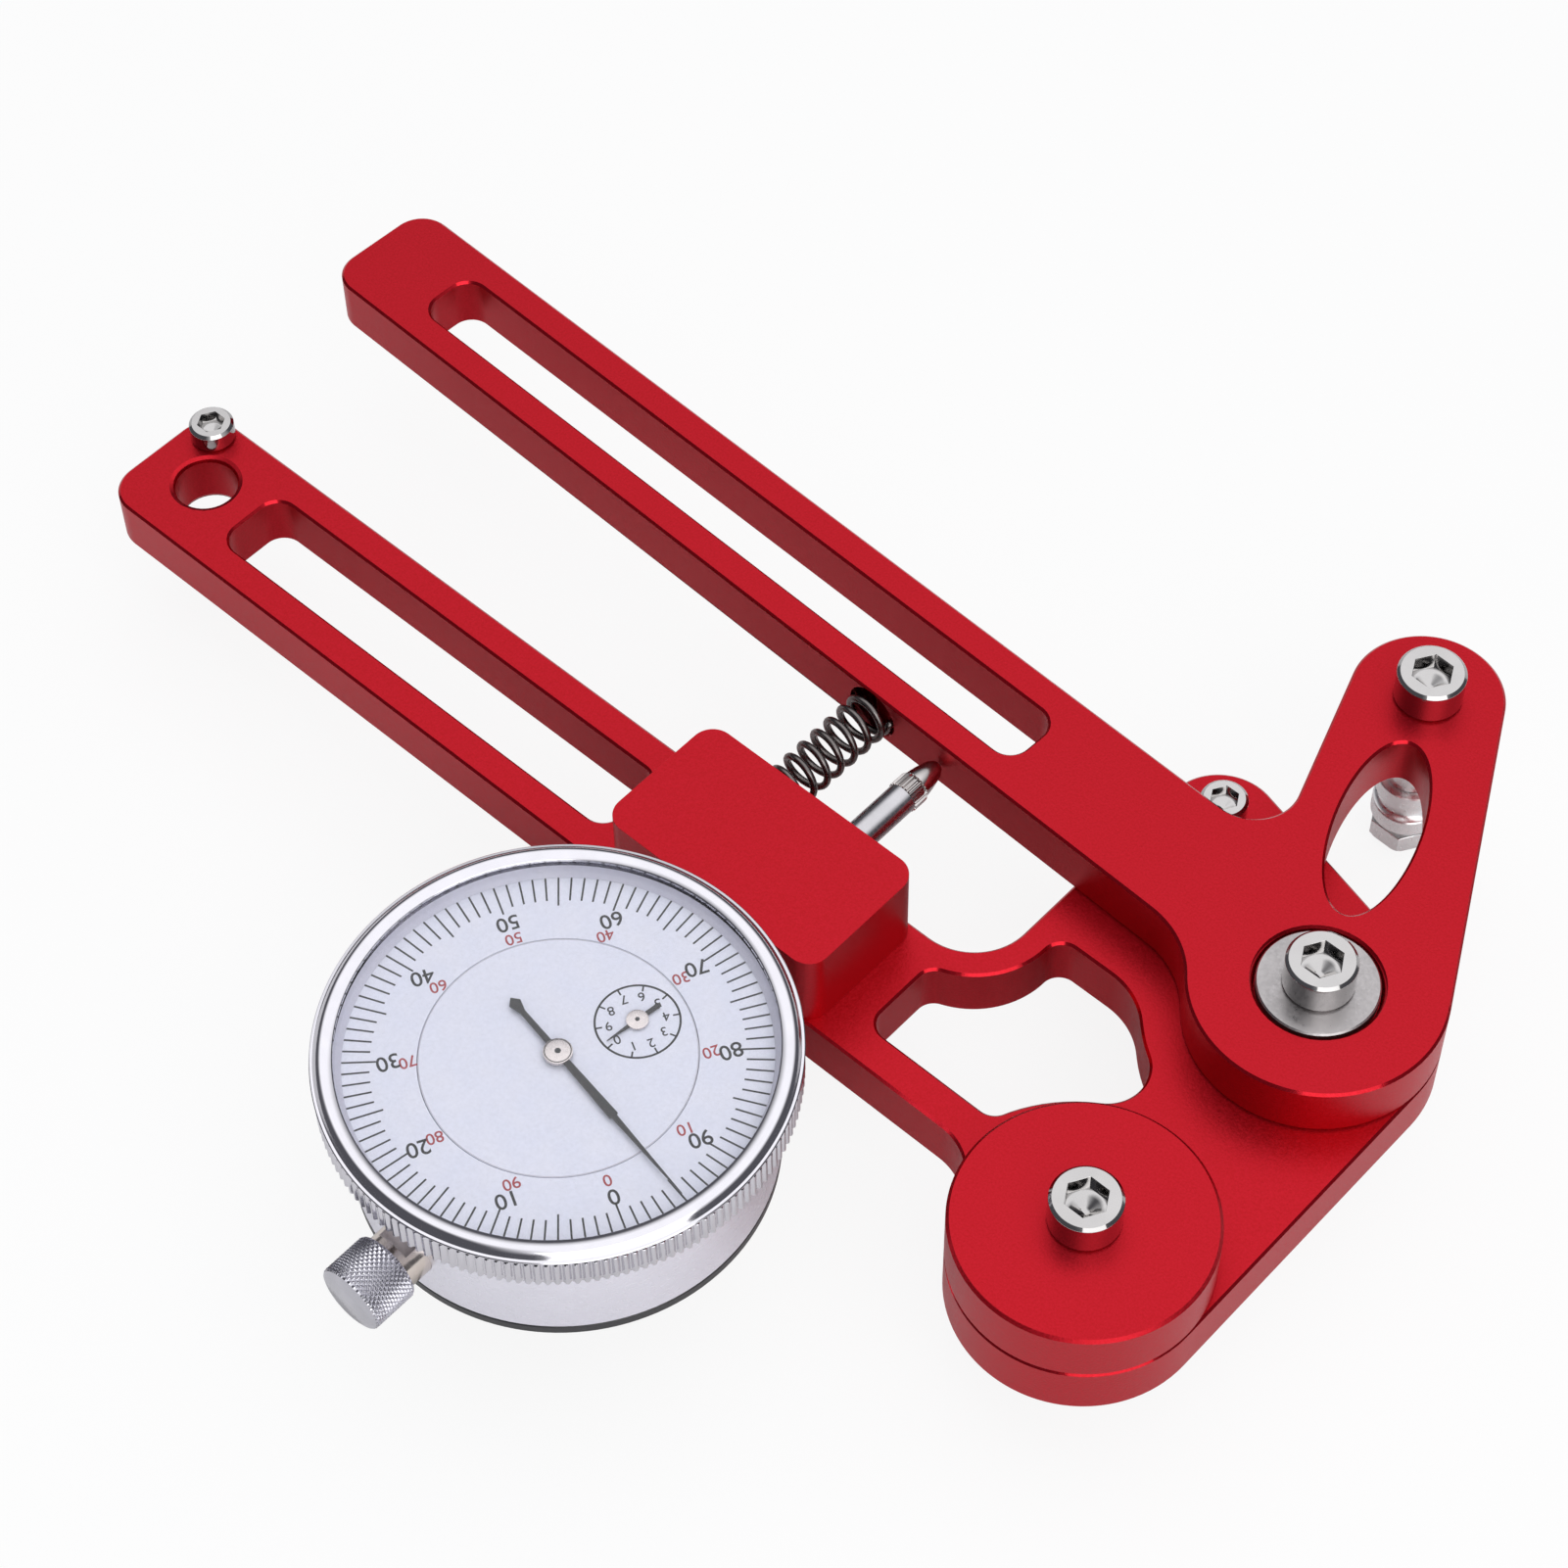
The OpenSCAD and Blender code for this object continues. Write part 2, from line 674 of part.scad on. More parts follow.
// A cylinder along Y between two places on the spindle's axis
module along(r, y0, y1) {
    translate([-gauge_x, y0, axis_z]) rotate([-90, 0, 0]) cylinder(r = r, h = y1 - y0);
}

module gauge_case() {
    color(silver) difference() {
        at_gauge(back_z + back_t) bar(case_r, case_top - back_z - back_t, edge / 2);
        along(spindle_r + 10 * run_fit, case_end - eps, -gauge_y + case_r + eps);
        along(stem_r + seat_fit, -gauge_y + case_r - 2 * socket_t, -gauge_y + case_r + eps);
        along(tube_r + seat_fit, case_end - eps, case_end + 2 * socket_t);
        at_gauge(case_top - socket_t) cylinder(r = arbor_r + run_fit, h = socket_t + eps);
        at_gauge(case_top - socket_t) translate(small_at)
            cylinder(r = small_arbor_r + run_fit, h = socket_t + eps);
    }
}

arbor_r = 0.6;
small_arbor_r = 0.4;

module gauge_back() color(dark) at_gauge(back_z) bar(case_r, back_t, edge / 2);

module gauge_stem() {
    color(silver) difference() {
        along(stem_r, -gauge_y + case_r - 2 * socket_t, grip_in - 2 * edge);
        along(spindle_r + run_fit, -gauge_y, grip_in);
    }
}

module cap_tube() {
    color(steel) difference() {
        along(tube_r, cap_y - cap_len / 2, case_end + 2 * socket_t);
        along(spindle_r + 10 * run_fit, cap_y - cap_len, -gauge_y);
        for (z = [tube_flat, -tube_flat - tube_r])
            translate([-gauge_x - tube_r, cap_y + tube_collar, axis_z + z])
                cube([2 * tube_r, case_end - cap_y - tube_collar + 2 * run_fit, tube_r]);
    }
}

module dust_cap() {
    color(steel) difference() {
        translate([-gauge_x, cap_y, axis_z]) rotate([90, 0, 0]) bar(cap_r, cap_len, edge);
        along(tube_r + seat_fit, cap_y - cap_len / 2, cap_y + eps);
        along(spindle_r + 10 * run_fit, cap_y - cap_len + 3 * edge, cap_y);
    }
}

module dial_plate() {
    color(paper) difference() {
        at_gauge(case_top) cylinder(r = dial_r, h = dial_t);
        at_gauge(case_top - eps) cylinder(r = arbor_r + run_fit, h = dial_t + 2 * eps);
        at_gauge(case_top - eps) translate(small_at)
            cylinder(r = small_arbor_r + run_fit, h = dial_t + 2 * eps);
    }
}

module scale_ring() {
    color(paper) at_gauge(case_top + face_gap) difference() {
        cylinder(r = ring_r, h = dial_t - face_gap);
        translate([0, 0, -eps]) cylinder(r = dial_r + 2 * run_fit, h = dial_t);
    }
}

// Ribs as a toothed outline, four points to a rib
module rib_outline() {
    step = 360 / bezel_ribs;
    polygon([for (i = [0:bezel_ribs - 1], k = [0:3])
        let (r = k == 1 || k == 2 ? rib_tip : rib_foot, a = step * (i + [0.1, 0.25, 0.65, 0.8][k]))
        r * [cos(a), sin(a)]]);
}

module bezel() {
    top = bezel_z1 - face_z;
    low = bezel_z0 - face_z;
    seat = crystal_z - face_z;
    lip = crystal_r - 0.8;
    color(silver) at_gauge(face_z) {
        rotate_extrude() polygon([
            [bezel_in, low], [rib_foot, low], [rib_foot, top - 1.2], [rib_foot - 0.25, top - 1],
            [rib_foot + 0.25, top - 0.75], [rib_foot + 0.1, top - 0.4], [rib_foot - 0.4, top - 0.1],
            [rib_foot - 1, top], [lip + 0.6, top - 0.1], [lip, top - 0.45],
            [lip, seat + crystal_t], [crystal_r, seat + crystal_t], [crystal_r, seat],
            [ring_r, seat], [ring_r, face_gap - dial_t], [bezel_in, face_gap - dial_t]]);
        translate([0, 0, low + edge]) linear_extrude(top - low - 1.8 - edge) difference() {
            rib_outline();
            circle(rib_foot - 2 * edge);
        }
    }
}

module crystal() {
    lip = crystal_r - 0.8;
    color([0.85, 0.9, 0.95, 0.35]) at_gauge(crystal_z) rotate_extrude() polygon(concat(
        [[0, 0], [crystal_r, 0], [crystal_r, crystal_t], [lip, crystal_t]],
        [for (i = [1:8]) let (r = (lip - 0.3) * (1 - i / 8))
            [r, crystal_t + crystal_dome * (1 - pow(r / lip, 2))]]));
}

// A flat outline from the points of its upper half
module both_sides(half) {
    polygon(concat(half, [for (i = [len(half) - 1:-1:0]) [half[i].x, -half[i].y]]));
}

// A hand's cap, the collar it stands on and its arbor in the case
module hub(r, arbor, z, t, h) {
    translate([0, 0, z - t / 2]) cylinder(r = r, h = h);
    translate([0, 0, face_gap]) cylinder(r = r * 0.75, h = z - face_gap);
    translate([0, 0, case_top - socket_t + face_gap - face_z])
        cylinder(r = arbor, h = z + socket_t + dial_t - face_gap);
}

module long_hand() {
    z = 0.7;
    t = 0.15;
    color(dark) at_gauge(face_z) rotate(hand_angle) {
        translate([0, 0, z]) linear_extrude(t) both_sides([
            [hand_len, t / 4], [shoulder_at, blade_w], [shoulder_at - t, shoulder_w],
            [0, hand_w], [-hand_tail * 0.74, hand_w * 0.85], [-hand_tail * 0.91, arrow_w],
            [-hand_tail, t / 4]]);
        hub(hub_r, arbor_r, z, t, 0.5);
    }
}

module short_hand() {
    z = 0.28;
    t = 0.1;
    color(dark) at_gauge(face_z) translate(small_at) rotate(small_angle) {
        translate([0, 0, z]) linear_extrude(t) {
            both_sides([[small_len, t / 2], [0, small_w], [-small_tail, small_w]]);
            disc_at([-small_tail, 0], small_w * 1.2);
        }
        hub(small_hub_r, small_arbor_r, z, t, 0.3);
    }
}

module spindle() color(steel) along(spindle_r, spindle_end, collar_y);

module contact_point() {
    cone_y = collar_y + collar_len;
    ball_y = tip_y - ball_r;
    color(steel) union() {
        translate([-gauge_x, collar_y, axis_z]) rotate([-90, 0, 0]) linear_extrude(collar_len)
            polygon([for (i = [0:flutes - 1], k = [0:3])
                (k < 2 ? collar_r : collar_r - 0.25)
                * [cos((i + k * 0.25) * 360 / flutes), sin((i + k * 0.25) * 360 / flutes)]]);
        translate([-gauge_x, cone_y - eps, axis_z]) rotate([-90, 0, 0])
            cylinder(r1 = collar_r - 0.3, r2 = ball_r * 0.95, h = ball_y - cone_y + 2 * eps);
        translate([-gauge_x, ball_y, axis_z]) sphere(ball_r);
    }
}

frame_plate();
gauge_block();
block_screws();
spacer_disc();
pivot_bushing();
frame_bolts();
frame_washers();
frame_nuts();
close_stop();
open_stop();
lever();
arm_bolt();
arm_spacer();
arm_nut();
roller_fixed();
roller_pivot();
roller_arm();
spring();
gauge_case();
gauge_back();
gauge_stem();
cap_tube();
dust_cap();
dial_plate();
bezel();
crystal();
scale_ring();
long_hand();
short_hand();
spindle();
contact_point();
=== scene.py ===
"""Looks for the spoke tension meter, in metres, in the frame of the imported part.

X runs along the frame's handle towards the head, Y from the gauge to the lever, Z up.
"""

import math

import bpy
import bmesh
from mathutils import Matrix, Vector

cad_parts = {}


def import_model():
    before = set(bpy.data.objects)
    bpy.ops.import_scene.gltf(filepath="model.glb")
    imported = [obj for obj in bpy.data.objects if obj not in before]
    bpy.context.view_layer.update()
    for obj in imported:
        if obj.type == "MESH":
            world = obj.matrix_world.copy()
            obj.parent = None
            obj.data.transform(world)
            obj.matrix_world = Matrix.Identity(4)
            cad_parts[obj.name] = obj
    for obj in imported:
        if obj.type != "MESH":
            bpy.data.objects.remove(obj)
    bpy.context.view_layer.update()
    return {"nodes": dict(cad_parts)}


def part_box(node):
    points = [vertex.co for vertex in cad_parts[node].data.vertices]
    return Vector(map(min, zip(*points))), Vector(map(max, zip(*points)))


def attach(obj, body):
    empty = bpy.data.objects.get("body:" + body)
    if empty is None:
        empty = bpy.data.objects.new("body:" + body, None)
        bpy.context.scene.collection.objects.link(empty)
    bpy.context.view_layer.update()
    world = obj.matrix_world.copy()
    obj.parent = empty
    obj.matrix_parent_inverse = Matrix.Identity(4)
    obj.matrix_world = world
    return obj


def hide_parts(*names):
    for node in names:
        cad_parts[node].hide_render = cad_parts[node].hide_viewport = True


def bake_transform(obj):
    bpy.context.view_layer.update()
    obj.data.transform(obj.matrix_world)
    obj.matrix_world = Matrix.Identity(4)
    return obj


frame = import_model()
nodes = frame["nodes"]
MM = 0.001

# Places read from the frame

def corners(name):
    low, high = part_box(name)
    return Vector(low), Vector(high)


def middle(name):
    low, high = corners(name)
    return (low + high) / 2


def top_of(name):
    return corners(name)[1].z


DIAL = middle("dial_plate")
FACE_Z = top_of("dial_plate")
DIAL_R = (corners("dial_plate")[1].x - corners("dial_plate")[0].x) / 2
RING_R = (corners("scale_ring")[1].x - corners("scale_ring")[0].x) / 2
AXIS_Z = middle("spindle").z
FLOOR_Z = min(corners(n)[0].z for n in nodes) - 0.05 * MM

# Dial print, and a grey ring of painted shade at the dial's edge
ZERO_ANGLE = math.radians(-27.7)
PRINT_T = 0.02 * MM
TICKS = 100
TICK_OUT = 25.75 * MM
TICK_LONG_IN = 21.55 * MM
TICK_SHORT_IN = 22.3 * MM
TICK_W = 0.23 * MM
BLACK_R = 20.3 * MM
RED_R = 17.95 * MM
SMALL_AT = Vector((3.65 * MM, 9.75 * MM, 0))
SMALL_RING_R = 5.13 * MM
SMALL_DIGIT_R = 3.5 * MM
SMALL_ZERO = math.radians(-90.3)
FIGURE_BOLD = 0.022 * MM
FIGURE_SHIFT = Vector((0.25 * MM, -0.05 * MM, 0))
# Height of a figure as a share of its font size
FIGURE_SHARE = 0.73
# Figures lower than this get thinner strokes
FULL_BOLD_H = 2 * MM
BLACK_H = 2.15 * MM
RED_H = 1.6 * MM
SMALL_H = 1.3 * MM
# Width of the grey ring at the dial's edge: painted shade of the gap to the bezel
EDGE_SHADE_W = 0.14 * MM
SMALL_LINE_IN = 0.14 * MM
SMALL_LINE_OUT = 0.12 * MM
SMALL_TICK_LONG = 0.85 * MM
SMALL_TICK_W = 0.21 * MM
SMALL_STEPS = 72


# Mesh helpers

def new_piece(name, mesh, body, material):
    piece = bpy.data.objects.new(name, mesh)
    bpy.context.scene.collection.objects.link(piece)
    mesh.materials.clear()
    mesh.materials.append(material)
    if body:
        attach(piece, body)
    return piece


def mesh_from(name, points, faces):
    mesh = bpy.data.meshes.new(name)
    mesh.from_pydata([tuple(p) for p in points], [], faces)
    mesh.validate()
    mesh.update()
    return mesh


def prism(outline, z, height, into):
    """Adds a flat prism over an outline of (x, y) points to the lists in into."""
    points, faces = into
    first = len(points)
    n = len(outline)
    points += [(x, y, z) for x, y in outline] + [(x, y, z + height) for x, y in outline]
    faces.append(tuple(first + i for i in reversed(range(n))))
    faces.append(tuple(first + n + i for i in range(n)))
    for i in range(n):
        j = (i + 1) % n
        faces.append((first + i, first + j, first + n + j, first + n + i))


def annulus(centre, inner, outer, z, height, into, steps=120):
    points, faces = into
    first = len(points)
    for i in range(steps):
        a = 2 * math.pi * i / steps
        for r, level in ((inner, z), (outer, z), (outer, z + height), (inner, z + height)):
            points.append((centre.x + r * math.cos(a), centre.y + r * math.sin(a), level))
    for i in range(steps):
        here, there = first + 4 * i, first + 4 * ((i + 1) % steps)
        for k in range(4):
            m = (k + 1) % 4
            faces.append((here + k, there + k, there + m, here + m))


def bar_outline(centre, angle, inner, outer, width):
    along = Vector((math.cos(angle), math.sin(angle)))
    across = Vector((-along.y, along.x)) * width / 2
    base = Vector((centre.x, centre.y))
    return [tuple(base + along * r + across * s)
            for r, s in ((inner, -1), (outer, -1), (outer, 1), (inner, 1))]


def embolden(mesh, by):
    """Moves the outline of flat figures outwards, and that of their holes inwards."""
    shape = bmesh.new()
    shape.from_mesh(mesh)
    bmesh.ops.remove_doubles(shape, verts=shape.verts, dist=0.0005 * MM)
    shape.normal_update()
    moves = []
    for vert in shape.verts:
        sides = [face.normal for face in vert.link_faces if abs(face.normal.z) < 0.5]
        out = sum(sides, Vector()).normalized()
        if sides and out.length:
            moves.append((vert, out * by / max(0.5, out.dot(sides[0]))))
    for vert, move in moves:
        vert.co += move
    shape.to_mesh(mesh)
    shape.free()


def figure_mesh(text, height):
    """A flat mesh of a number, centred on the origin, with its top towards +Y."""
    curve = bpy.data.curves.new("figure", "FONT")
    curve.body = text
    curve.size = height / FIGURE_SHARE
    curve.align_x = "CENTER"
    curve.align_y = "CENTER"
    curve.extrude = PRINT_T / 2
    holder = bpy.data.objects.new("figure", curve)
    bpy.context.scene.collection.objects.link(holder)
    bpy.context.view_layer.update()
    graph = bpy.context.evaluated_depsgraph_get()
    mesh = bpy.data.meshes.new_from_object(holder.evaluated_get(graph))
    bpy.data.objects.remove(holder)
    bpy.data.curves.remove(curve)
    xs = [v.co.x for v in mesh.vertices]
    ys = [v.co.y for v in mesh.vertices]
    shift = Vector((-(min(xs) + max(xs)) / 2, -(min(ys) + max(ys)) / 2, 0))
    mesh.transform(Matrix.Translation(shift))
    embolden(mesh, FIGURE_BOLD * min(1, (height / FULL_BOLD_H) ** 2))
    return mesh


def figures(name, items, height, body, material):
    """One piece with a number at each place: items are (text, position)."""
    joined = bmesh.new()
    turn = Matrix.Rotation(ZERO_ANGLE - math.pi / 2, 4, "Z")
    for text, place in items:
        mesh = figure_mesh(text, height)
        mesh.transform(Matrix.Translation(place) @ turn)
        joined.from_mesh(mesh)
        bpy.data.meshes.remove(mesh)
    mesh = bpy.data.meshes.new(name)
    joined.to_mesh(mesh)
    joined.free()
    return new_piece(name, mesh, body, material)


# Modifiers and node helpers

SMOOTH_ANGLE = math.radians(28)
BEVEL_ANGLE = math.radians(32)
FLAT_ANGLE = math.radians(0.6)
JOIN_DISTANCE = 0.004 * MM


def smoothing(name, angle, merge):
    """A modifier that joins the mesh's split points and shades it smooth up to an angle."""
    group = bpy.data.node_groups.new(name, "GeometryNodeTree")
    group.interface.new_socket("Geometry", in_out="INPUT", socket_type="NodeSocketGeometry")
    group.interface.new_socket("Geometry", in_out="OUTPUT", socket_type="NodeSocketGeometry")
    add = group.nodes.new
    start = add("NodeGroupInput")
    end = add("NodeGroupOutput")
    weld = add("GeometryNodeMergeByDistance")
    weld.inputs["Distance"].default_value = merge
    plain = add("GeometryNodeRemoveAttribute")
    plain.inputs["Name"].default_value = "custom_normal"
    faces = add("GeometryNodeSetShadeSmooth")
    faces.domain = "FACE"
    sharp = add("GeometryNodeSetShadeSmooth")
    sharp.domain = "EDGE"
    sharp.inputs["Shade Smooth"].default_value = False
    bend = add("GeometryNodeInputMeshEdgeAngle")
    limit = add("FunctionNodeCompare")
    limit.operation = "GREATER_THAN"
    limit.inputs["B"].default_value = angle
    link = group.links.new
    link(start.outputs[0], weld.inputs["Geometry"])
    link(weld.outputs[0], plain.inputs["Geometry"])
    link(plain.outputs[0], faces.inputs["Geometry"])
    link(faces.outputs[0], sharp.inputs["Geometry"])
    link(bend.outputs["Unsigned Angle"], limit.inputs["A"])
    link(limit.outputs[0], sharp.inputs["Selection"])
    link(sharp.outputs[0], end.inputs[0])
    return group


JOIN = smoothing("join_points", SMOOTH_ANGLE, JOIN_DISTANCE)
SMOOTH = smoothing("smooth_by_angle", SMOOTH_ANGLE, 0.0)


def soften(piece, width=0, plate=False):
    """Breaks the edges of a CAD node or a piece and shades its curved faces smooth.

    A plate gets even chamfers with the bright look of RED_EDGE.
    """
    first = piece.modifiers.new("join", "NODES")
    first.node_group = JOIN
    if plate:
        flat = piece.modifiers.new("merge_flat_faces", "DECIMATE")
        flat.decimate_type = "DISSOLVE"
        flat.angle_limit = FLAT_ANGLE
    if width:
        bevel = piece.modifiers.new("edges", "BEVEL")
        bevel.width = width
        bevel.segments = 1
        bevel.limit_method = "ANGLE"
        bevel.angle_limit = BEVEL_ANGLE
        bevel.use_clamp_overlap = not plate
        if plate:
            piece.data.materials.append(RED_EDGE)
            bevel.material = 1
        last = piece.modifiers.new("smooth", "NODES")
        last.node_group = SMOOTH


def material(name):
    made = bpy.data.materials.new(name)
    made.use_nodes = True
    tree = made.node_tree
    shader = tree.nodes["Principled BSDF"]
    return made, tree, shader


def noise(tree, scale, detail=3.0, roughness=0.55, stretch=(1, 1, 1)):
    """A noise pattern in the object's own metres."""
    where = tree.nodes.new("ShaderNodeTexCoord")
    size = tree.nodes.new("ShaderNodeMapping")
    size.inputs["Scale"].default_value = stretch
    made = tree.nodes.new("ShaderNodeTexNoise")
    made.inputs["Scale"].default_value = scale
    made.inputs["Detail"].default_value = detail
    made.inputs["Roughness"].default_value = roughness
    tree.links.new(where.outputs["Object"], size.inputs["Vector"])
    tree.links.new(size.outputs["Vector"], made.inputs["Vector"])
    return made.outputs["Fac"]


def ramp(tree, value, low, high, out_low, out_high):
    """Spreads a value between low and high over out_low to out_high."""
    made = tree.nodes.new("ShaderNodeMapRange")
    made.inputs["From Min"].default_value = low
    made.inputs["From Max"].default_value = high
    made.inputs["To Min"].default_value = out_low
    made.inputs["To Max"].default_value = out_high
    tree.links.new(value, made.inputs["Value"])
    return made.outputs["Result"]


def spread(tree, pattern, out_low=0, out_high=1):
    """Spreads the middle of a noise pattern, where nearly all of it lies."""
    return ramp(tree, pattern, 0.3, 0.7, out_low, out_high)


def mix_colour(tree, value, first, second):
    made = tree.nodes.new("ShaderNodeMix")
    made.data_type = "RGBA"
    made.inputs["A"].default_value = (*first, 1)
    made.inputs["B"].default_value = (*second, 1)
    tree.links.new(value, made.inputs["Factor"])
    return made.outputs["Result"]


def bump(tree, shader, value, distance, strength=1.0):
    made = tree.nodes.new("ShaderNodeBump")
    made.inputs["Distance"].default_value = distance
    made.inputs["Strength"].default_value = strength
    tree.links.new(value, made.inputs["Height"])
    tree.links.new(made.outputs["Normal"], shader.inputs["Normal"])


def anodised(name, rough, grain_depth):
    """Red anodised aluminium, bead-blasted on its faces and cut bright on its chamfers."""
    made, tree, shader = material(name)
    grain = noise(tree, 3200, 2, 0.7)
    colour = mix_colour(tree, spread(tree, grain), (0.41, 0.004, 0.010), (0.52, 0.008, 0.020))
    tree.links.new(colour, shader.inputs["Base Color"])
    shader.inputs["Metallic"].default_value = 0.82
    tree.links.new(spread(tree, grain, rough * 0.85, rough * 1.15), shader.inputs["Roughness"])
    bump(tree, shader, grain, grain_depth * MM, 0.7)
    return made


def metal(name, colour, rough, brushed, scale=1900, dark=0.85, stretch=(1, 1, 1)):
    """Bare or plated metal. Brushed is the depth of its marks in mm, and scale their number."""
    made, tree, shader = material(name)
    cloud = noise(tree, 260, 4)
    marks = noise(tree, scale, 3, 0.6, stretch)
    tone = mix_colour(tree, spread(tree, cloud), [c * dark for c in colour], colour)
    tree.links.new(tone, shader.inputs["Base Color"])
    shader.inputs["Metallic"].default_value = 1.0
    tree.links.new(spread(tree, marks, rough * 0.8, rough * 1.3), shader.inputs["Roughness"])
    bump(tree, shader, marks, brushed * MM, 0.6)
    return made


def plain(name, colour, rough, grain=0.01, spec=0.5):
    """Paint, print or plastic with a fine grain, whose depth is in mm."""
    made, tree, shader = material(name)
    speck = noise(tree, 2400, 2)
    tone = mix_colour(tree, spread(tree, speck), [c * 0.93 for c in colour], colour)
    tree.links.new(tone, shader.inputs["Base Color"])
    tree.links.new(spread(tree, speck, rough * 0.9, rough * 1.1), shader.inputs["Roughness"])
    shader.inputs["Specular IOR Level"].default_value = spec
    bump(tree, shader, speck, grain * MM, 0.5)
    return made


def clear(name):
    """A thin clear window: see-through, with a faint reflection that grows at flat angles."""
    made = bpy.data.materials.new(name)
    made.use_nodes = True
    tree = made.node_tree
    tree.nodes.clear()
    add = tree.nodes.new
    out = add("ShaderNodeOutputMaterial")
    through = add("ShaderNodeBsdfTransparent")
    gloss = add("ShaderNodeBsdfAnisotropic")
    gloss.inputs["Roughness"].default_value = 0.03
    edge = add("ShaderNodeFresnel")
    edge.inputs["IOR"].default_value = 1.49
    film = noise(tree, 300, 3)
    tint = mix_colour(tree, spread(tree, film), (0.985, 0.99, 1.0), (1.0, 1.0, 1.0))
    mixed = add("ShaderNodeMixShader")
    link = tree.links.new
    link(tint, through.inputs["Color"])
    link(ramp(tree, edge.outputs["Fac"], 0.0, 1.0, 0.0, 0.5), mixed.inputs["Fac"])
    link(through.outputs[0], mixed.inputs[1])
    link(gloss.outputs[0], mixed.inputs[2])
    link(mixed.outputs[0], out.inputs["Surface"])
    return made


RED = anodised("red_anodised", 0.38, 0.04)
RED_EDGE = anodised("red_anodised_chamfer", 0.15, 0.006)
CHROME = metal("plated_steel", (0.47, 0.46, 0.455), 0.09, 0.002, 2600, 0.93)
TURNED = metal("turned_steel", (0.43, 0.41, 0.41), 0.34, 0.012, 2400)
HUB = metal("hub_steel", (0.68, 0.62, 0.60), 0.26, 0.006)
TIP = metal("tip_steel", (0.56, 0.53, 0.52), 0.17, 0.002)
CAP = metal("cap_steel", (0.56, 0.555, 0.60), 0.2, 0.004)
SHAFT = metal("ground_steel", (0.52, 0.51, 0.53), 0.2, 0.004)
BRIGHT = metal("bright_steel", (0.88, 0.88, 0.88), 0.3, 0.002, dark=0.95)
NICKEL = metal("nickel_plate", (0.74, 0.67, 0.61), 0.16, 0.006)
SATIN = metal("satin_aluminium", (0.90, 0.89, 0.97), 0.3, 0.002, 900, 0.97, (1, 1, 6))
POLISHED = metal("polished_aluminium", (0.66, 0.65, 0.69), 0.11, 0.001, 900, 0.94, (1, 1, 4))
WIRE = metal("black_wire", (0.17, 0.155, 0.15), 0.25, 0.004, 3000)
BLACK = plain("black_plastic", (0.018, 0.018, 0.02), 0.35)
DIAL_WHITE = plain("dial_white", (0.885, 0.895, 1.0), 0.45, 0.002, 0.3)
# Pale paint on the bezel's inner cone: a painted reflection, the bright flare band put into its
# colour
PAINTED_FLARE = plain("bezel_cone_painted_flare", (0.70, 0.69, 0.79), 0.2, 0.002, 0.6)
INK = plain("black_ink", (0.012, 0.012, 0.014), 0.5, 0.002)
RED_INK = plain("red_ink", (0.42, 0.04, 0.05), 0.5, 0.002)
# Grey of the ring at the dial's edge: painted shade of the gap between the dial and the bezel
EDGE_SHADE_GREY = plain("dial_edge_painted_shade", (0.6, 0.59, 0.66), 0.5, 0.002)
HAND = plain("hand_black", (0.02, 0.02, 0.022), 0.32, 0.002)
CLEAR = clear("clear_window")

# Material of each CAD node and the width of its broken edges in mm
LOOK = {
    "frame_plate": (RED, 0.33), "gauge_block": (RED, 0.35), "spacer_disc": (RED, 0.0),
    "lever": (RED, 0.33), "pivot_bushing": (TURNED, 0.0), "block_screws": (CHROME, 0.0),
    "frame_bolts": (CHROME, 0.12), "frame_washers": (CHROME, 0.05), "frame_nuts": (CHROME, 0.15),
    "close_stop": (CHROME, 0.1), "open_stop": (CHROME, 0.1), "arm_bolt": (CHROME, 0.12),
    "arm_spacer": (BRIGHT, 0.0), "arm_nut": (BRIGHT, 0.15), "roller_fixed": (TURNED, 0.15),
    "roller_pivot": (TURNED, 0.15), "roller_arm": (BRIGHT, 0.15), "spring": (WIRE, 0.0),
    "gauge_case": (SATIN, 0.0), "gauge_back": (BLACK, 0.15), "gauge_stem": (CHROME, 0.2),
    "cap_tube": (NICKEL, 0.1), "dust_cap": (CHROME, 0.0), "dial_plate": (DIAL_WHITE, 0.0),
    "bezel": (POLISHED, 0.0), "crystal": (CLEAR, 0.0), "scale_ring": (DIAL_WHITE, 0.0),
    "long_hand": (HAND, 0.0), "short_hand": (HAND, 0.0), "spindle": (SHAFT, 0.0),
    "contact_point": (TIP, 0.0),
}
for name, (look, width) in LOOK.items():
    mesh = nodes[name].data
    mesh.materials.clear()
    mesh.materials.append(look)
    soften(nodes[name], width * MM, plate=name in ("frame_plate", "lever"))


